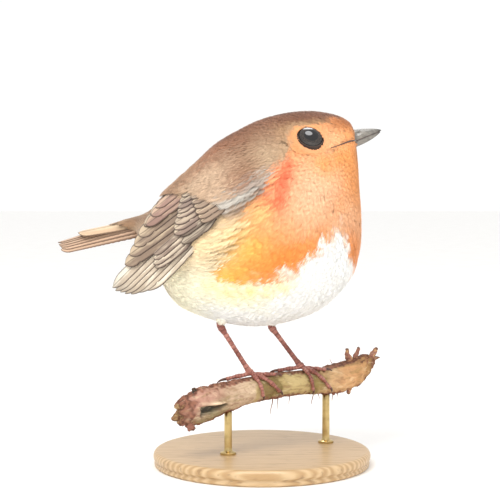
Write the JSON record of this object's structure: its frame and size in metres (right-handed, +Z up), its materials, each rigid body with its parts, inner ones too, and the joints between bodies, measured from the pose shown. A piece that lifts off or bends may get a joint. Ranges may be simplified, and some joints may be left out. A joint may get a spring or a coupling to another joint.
{
  "type": "european robin",
  "caption": "Life-size still European robin standing with its wings folded low on a cut length of branch, held above a round base by slim rods.",
  "frame": {"origin": "middle of the underside of the stand's base", "axes": "+Z up; the bird looks along +X; its right side faces -Y; metres"},
  "size_m": [0.1249, 0.084, 0.1366],
  "materials": {
    "brown_plumage": "soft, matt feathers",
    "orange_plumage": "soft, matt feathers",
    "pale_plumage": "soft, matt feathers",
    "flight_feathers": "smooth feather vanes",
    "bill_horn": "dark horn, slightly glossy",
    "eye": "wet gloss",
    "leg_skin": "scaled skin",
    "bark": "rough bark",
    "stand_wood": "fine satin wood",
    "stand_metal": "satin"
  },
  "bodies": {
    "root": {"bill_lower": "bill_horn", "bill_upper": "bill_horn", "claw_left_1": "bill_horn", "claw_left_2": "bill_horn", "claw_left_3": "bill_horn", "claw_left_4": "bill_horn", "claw_right_1": "bill_horn", "claw_right_2": "bill_horn", "claw_right_3": "bill_horn", "claw_right_4": "bill_horn", "eye_left": "eye", "eye_right": "eye", "foot_left": "leg_skin", "foot_right": "leg_skin", "head": "orange_plumage", "neck": "orange_plumage", "perch": "bark", "primaries_left": "flight_feathers", "primaries_right": "flight_feathers", "rump": "brown_plumage", "secondaries_left": "flight_feathers", "secondaries_right": "flight_feathers", "stand_base": "stand_wood", "stand_rod_front": "stand_metal", "stand_rod_rear": "stand_metal", "tail": "flight_feathers", "tarsus_left": "leg_skin", "tarsus_right": "leg_skin", "thigh_left": "pale_plumage", "thigh_right": "pale_plumage", "trunk": "pale_plumage", "wing_coverts_left": "flight_feathers", "wing_coverts_right": "flight_feathers"}
  },
  "joints": []
}
